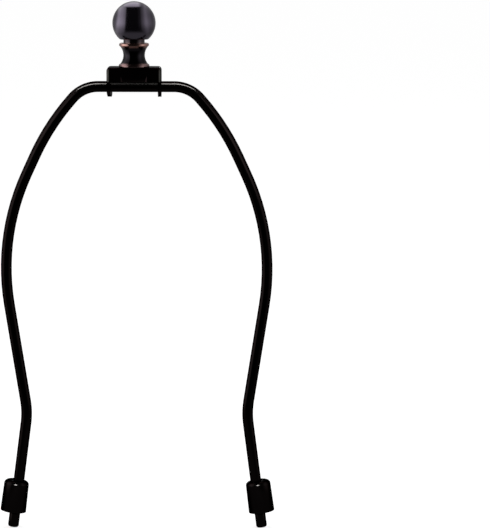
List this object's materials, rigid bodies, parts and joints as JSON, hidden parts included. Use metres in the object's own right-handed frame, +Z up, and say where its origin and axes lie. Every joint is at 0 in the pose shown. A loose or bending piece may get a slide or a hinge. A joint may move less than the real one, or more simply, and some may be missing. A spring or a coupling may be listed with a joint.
{
  "type": "lamp harp",
  "caption": "Bent wire lamp harp with a swivelling top saddle, a screw-on ball finial, and lock sleeves that slide on its legs over the ears of a lamp's harp holder.",
  "frame": {"origin": "midway between the ends of the two legs, on the axes of the wire, where the harp stands in its holder", "axes": "+Z up towards the finial, X across the hoop from leg to leg, Y square to the hoop's plane"},
  "size_m": [0.1208, 0.0186, 0.2317],
  "materials": {
    "black_bronze": "gloss black-bronze plate under clear lacquer",
    "stud_steel": "bare rolled thread",
    "finial_bronze": "polished black bronze, rubbed through to copper on the flanges"
  },
  "bodies": {
    "hoop": {"harp_wire": "black_bronze"},
    "left_sleeve": {"left_lock_sleeve": "black_bronze"},
    "right_sleeve": {"right_lock_sleeve": "black_bronze"},
    "saddle": {"top_saddle": "black_bronze", "finial_stud": "stud_steel"},
    "finial": {"finial": "finial_bronze"}
  },
  "joints": [
    {"name": "saddle_tilt", "type": "hinge", "parent": "hoop", "child": "saddle", "pos_m": [-0.00085, 0, 0.1946], "axis": [1, 0, 0], "continuous": true},
    {"name": "left_sleeve_lift", "type": "slide", "parent": "hoop", "child": "left_sleeve", "axis": [0.129, 0, 0.9916], "range_m": [0, 0.025]},
    {"name": "right_sleeve_lift", "type": "slide", "parent": "hoop", "child": "right_sleeve", "axis": [-0.129, 0, 0.9916], "range_m": [0, 0.025]},
    {"name": "finial_lift", "type": "slide", "parent": "saddle", "child": "finial", "axis": [0, 0, 1], "range_m": [0, 0.014]}
  ]
}
